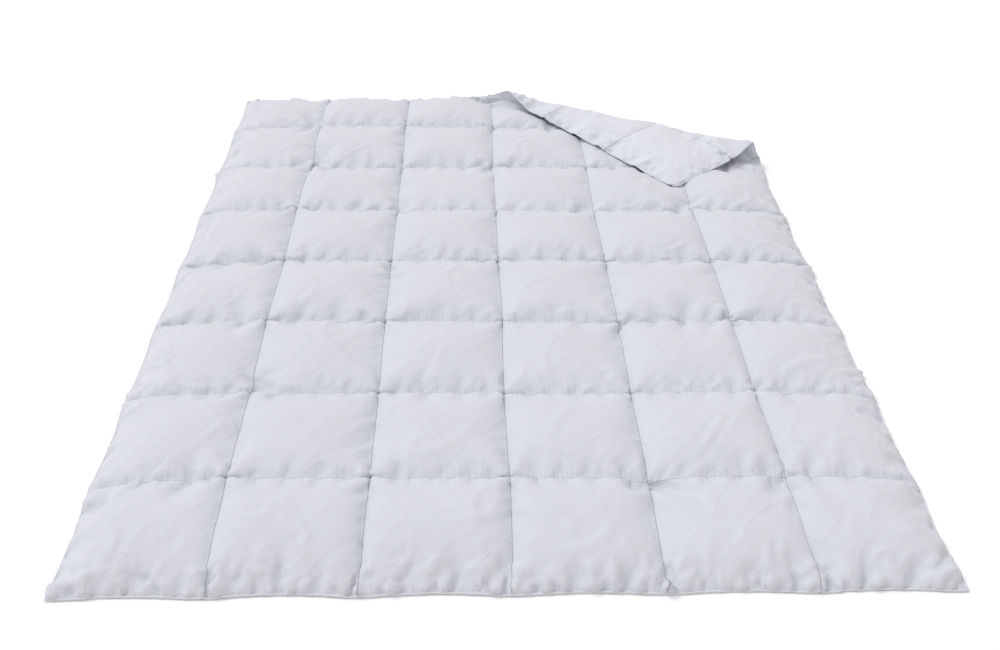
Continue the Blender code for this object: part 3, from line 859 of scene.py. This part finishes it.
def cut_out_covers(covers):
    """Each cover in three pieces, by how its cloth moves. Only the points that a piece uses go in."""
    grid = np.arange(covers.x.size).reshape(covers.x.shape)
    corners = [grid[:-1, :-1], grid[1:, :-1], grid[1:, 1:], grid[:-1, 1:]]
    faces = np.stack(corners, axis=-1).reshape(-1, 4)
    part = part_of(covers.past.ravel()[faces].mean(axis=1))
    cloth = covers.on_flat_cloth().reshape(-1, 3)
    pieces = {}
    for cover, (side, cotton) in enumerate((("upper", upper_cotton), ("under", under_cotton_painted_lighter))):
        points = covers.points[cover].reshape(-1, 3)
        turned = faces if cover == 0 else faces[:, ::-1]
        for number, region in enumerate(REGIONS):
            name = f"{region}_{side}_cover"
            used, renumbered = np.unique(turned[part == number], return_inverse=True)
            piece = make_piece(name, points[used], renumbered.reshape(-1, 4).tolist(), cloth[used], cotton)
            piece.data.shade_smooth()
            set_in_motion(piece, region)
            "cotton_top" if cover == 0 else "cotton_under"
            pieces[region, side] = piece
    return pieces


cover_pieces = cut_out_covers(covers)
down_in_flat = [node for node in frame["nodes"] if node.startswith("down_")]
down_in_corner = [node for node in frame["nodes"] if node.startswith("corner_down_")]
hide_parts("top_cover", "baffle_walls", *down_in_flat)
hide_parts("bottom_cover")
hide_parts("corner_top_cover", "corner_baffle_box",
            "corner_baffle_single", *down_in_corner)
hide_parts("corner_bottom_cover")

# ---------------------------------------------------------------------------------------------
# The lockstitch of the chamber seams, which holds each cover to the top or bottom of the light
# baffles, and a row of it just inside the edge on both covers.

STITCH_LENGTH = 0.0026
STITCH_WIDTH = 0.0007
STITCH_LIFT = 0.0002

thread_cotton, thread_shader, thread_cloth, _, _ = cloth_material("thread", 0.55, 0.1)
thread_tone = thread_cloth.node("ShaderNodeTexNoise", Vector=thread_cloth, Scale=900.0, Detail=2.0)
thread_colour = thread_tone.mixed((0.70, 0.71, 0.745, 1.0), (0.60, 0.61, 0.65, 1.0))
join(thread_shader.id_data, thread_shader.inputs["Base Color"], thread_colour)


def stitches_along(path, normals, cloth):
    """Small spindles, one after another along a path: points, triangles and places on the cloth."""
    steps = np.linalg.norm(np.diff(path, axis=0), axis=1)
    run = np.concatenate([[0], np.cumsum(steps)])
    heads = np.arange(STITCH_PITCH / 2, run[-1] - STITCH_LENGTH, STITCH_PITCH)
    if len(heads) == 0:
        return np.empty((0, 3)), np.empty((0, 3), int), np.empty((0, 3))

    def at(values, where):
        return np.stack([np.interp(where, run, values[:, k]) for k in range(3)], axis=1)

    first, last = at(path, heads), at(path, heads + STITCH_LENGTH)
    normal = at(normals, heads + STITCH_LENGTH / 2)
    normal /= np.linalg.norm(normal, axis=1)[:, None] + 1e-9
    side = np.cross(last - first, normal)
    side /= np.linalg.norm(side, axis=1)[:, None] + 1e-9
    lifted = normal * STITCH_LIFT
    middle = (first + last) / 2 + lifted
    half = STITCH_WIDTH / 2
    ring = [middle + side * half, middle + normal * half, middle - side * half, middle - normal * half]
    points = np.stack([first, last] + ring, axis=1)
    spindle = []
    for k in range(4):
        spindle += [(0, 2 + k, 2 + (k + 1) % 4), (1, 2 + (k + 1) % 4, 2 + k)]
    faces = np.array(spindle)[None] + 6 * np.arange(len(heads))[:, None, None]
    places = np.repeat(at(cloth, heads), 6, axis=0)
    return points.reshape(-1, 3), faces.reshape(-1, 3), places


def sew_covers(covers):
    """Stitches on both covers, except on the strip that bends, where the cloth shows the line."""
    normals = covers.outward()
    cloth = covers.on_flat_cloth()
    lines = [(slice(i, i + 1), slice(1, -1)) for i in covers.seam_x[1:-1]]
    lines += [(slice(1, -1), slice(j, j + 1)) for j in covers.seam_y[1:-1]]
    lines += [(slice(1, 2), slice(1, -1)), (slice(-2, -1), slice(1, -1))]
    lines += [(slice(1, -1), slice(1, 2)), (slice(1, -1), slice(-2, -1))]
    for cover, side in enumerate(("upper", "under")):
        for number, region in ((0, "flat"), (2, "corner")):
            made = [[], [], []]
            total = 0
            for line in lines:
                keep = part_of(covers.past[line].ravel()) == number
                if keep.sum() < 3:
                    continue
                path = covers.points[cover][line].reshape(-1, 3)[keep]
                points, faces, places = stitches_along(
                    path, normals[cover][line].reshape(-1, 3)[keep], cloth[line].reshape(-1, 3)[keep])
                made[0].append(points)
                made[1].append(faces + total)
                made[2].append(places)
                total += len(points)
            points, faces, places = (np.concatenate(group) for group in made)
            name = f"{region}_{side}_stitches"
            piece = make_piece(name, points, faces.tolist(), places, thread_cotton)
            set_in_motion(piece, region)


sew_covers(covers)

# ---------------------------------------------------------------------------------------------
# The piping: a cotton cord wrapped in a bias strip and sewn between the covers' edges, all the way round.

PIPING_SIDES = 10
TWILL_PITCH = 0.0012

piping_cotton, piping_shader, piping_cloth, piping_across, piping_along = cloth_material("piping", 0.7, 0.2)
twill = ((piping_across + piping_along) * (2 * math.pi / TWILL_PITCH)).sine()
piping_grain = piping_cloth.node("ShaderNodeTexNoise", Vector=piping_cloth, Scale=300.0, Detail=3.0)
piping_bump = piping_cloth.node("ShaderNodeBump", Strength=1.0, Distance=1.0,
                                Height=twill * 0.00005 + piping_grain * 0.0004)
join(piping_shader.id_data, piping_shader.inputs["Normal"], piping_bump)
piping_colour = piping_grain.mixed((0.70, 0.71, 0.75, 1.0), (0.62, 0.63, 0.675, 1.0))
join(piping_shader.id_data, piping_shader.inputs["Base Color"], piping_colour)


def tube_around(path, radius, sides):
    """A capped tube along an open path."""
    ahead = np.gradient(path, axis=0)
    ahead /= np.linalg.norm(ahead, axis=1)[:, None]
    side = np.empty_like(ahead)
    side[0] = np.cross(ahead[0], (0.0, 0.0, 1.0))
    for k in range(1, len(path)):
        side[k] = side[k - 1] - ahead[k] * np.dot(side[k - 1], ahead[k])
        side[k] /= np.linalg.norm(side[k])
    side[0] /= np.linalg.norm(side[0])
    up = np.cross(side, ahead)
    angle = np.linspace(0, 2 * np.pi, sides, endpoint=False)
    round_it = side[:, None] * np.cos(angle)[:, None] + up[:, None] * np.sin(angle)[:, None]
    points = (path[:, None] + radius * round_it).reshape(-1, 3)
    faces = []
    for k in range(len(path) - 1):
        for m in range(sides):
            n = (m + 1) % sides
            faces.append((k * sides + m, k * sides + n, (k + 1) * sides + n, (k + 1) * sides + m))
    faces.append(tuple(range(sides - 1, -1, -1)))
    faces.append(tuple(range((len(path) - 1) * sides, len(path) * sides)))
    return points, faces


def edge_loop(covers):
    """Grid places once round the edge, starting in the middle of the left side."""
    across, along = covers.across, covers.along
    start = along // 2
    loop = [(0, j) for j in range(start, -1, -1)]
    loop += [(i, 0) for i in range(1, across + 1)]
    loop += [(across, j) for j in range(1, along + 1)]
    loop += [(i, along) for i in range(across - 1, -1, -1)]
    loop += [(0, j) for j in range(along - 1, start - 1, -1)]
    return tuple(np.array(loop).T)


def pipe_edge(covers):
    """The piping along the joined edges, in runs that stay with the flat part, lie along the strip at the
    fold, or turn with the corner.
    """
    loop = edge_loop(covers)
    path = covers.points[0][loop].astype(float)
    path[:, 2] = np.maximum(path[:, 2], PIPING_RADIUS + 0.0002)
    cloth = covers.on_flat_cloth()[loop]
    part = part_of(covers.past[loop])
    cuts = [0] + list(np.flatnonzero(np.diff(part)) + 1) + [len(part) - 1]
    runs = list(zip(cuts[:-1], cuts[1:]))
    for number, region in enumerate(REGIONS):
        points, faces, places = [], [], []
        total = 0
        for first, last in (run for run in runs if part[run[0]] == number):
            new_points, new_faces = tube_around(path[first:last + 1], PIPING_RADIUS, PIPING_SIDES)
            points.append(new_points)
            faces += [tuple(total + k for k in face) for face in new_faces]
            places.append(np.repeat(cloth[first:last + 1], PIPING_SIDES, axis=0))
            total += len(new_points)
        name = f"{region}_edge_piping"
        piece = make_piece(name, np.concatenate(points), faces, np.concatenate(places), piping_cotton)
        piece.data.shade_smooth()
        set_in_motion(piece, region)
        if region == "flat":
            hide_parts("piping")
        elif region == "corner":
            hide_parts("corner_piping")


pipe_edge(covers)

# ---------------------------------------------------------------------------------------------
# What it lies on, and the light: a white floor under an even, soft sky with a little more light
# from behind and above.

FLOOR_SIZE = 30.0

floor_data = bpy.data.meshes.new("floor")
half = FLOOR_SIZE / 2
floor_corners = [(-half, -half, 0), (half, -half, 0), (half, half, 0), (-half, half, 0)]
floor_data.from_pydata(floor_corners, [], [(0, 1, 2, 3)])
floor = bpy.data.objects.new("floor", floor_data)
bpy.context.scene.collection.objects.link(floor)
paint = bpy.data.materials.new("floor_paint")
paint.use_nodes = True
paint_shader = paint.node_tree.nodes["Principled BSDF"]
paint_shader.inputs["Base Color"].default_value = (0.95, 0.95, 0.95, 1)
paint_shader.inputs["Roughness"].default_value = 0.9
paint_shader.inputs["Specular IOR Level"].default_value = 0.1
floor_data.materials.append(paint)

world = bpy.data.worlds.new("studio")
world.use_nodes = True
sky = world.node_tree.nodes["Background"]
sky.inputs["Color"].default_value = (1.0, 1.0, 1.0, 1.0)
sky.inputs["Strength"].default_value = 0.80
bpy.context.scene.world = world

lamp = bpy.data.lights.new("soft_light", "SUN")
lamp.energy = 1.2
lamp.angle = math.radians(22.0)
soft_light = bpy.data.objects.new("soft_light", lamp)
soft_light.rotation_euler = Vector((-0.62, 0.36, 0.85)).to_track_quat("Z", "Y").to_euler()
bpy.context.scene.collection.objects.link(soft_light)
bpy.context.scene.view_settings.view_transform = "Standard"
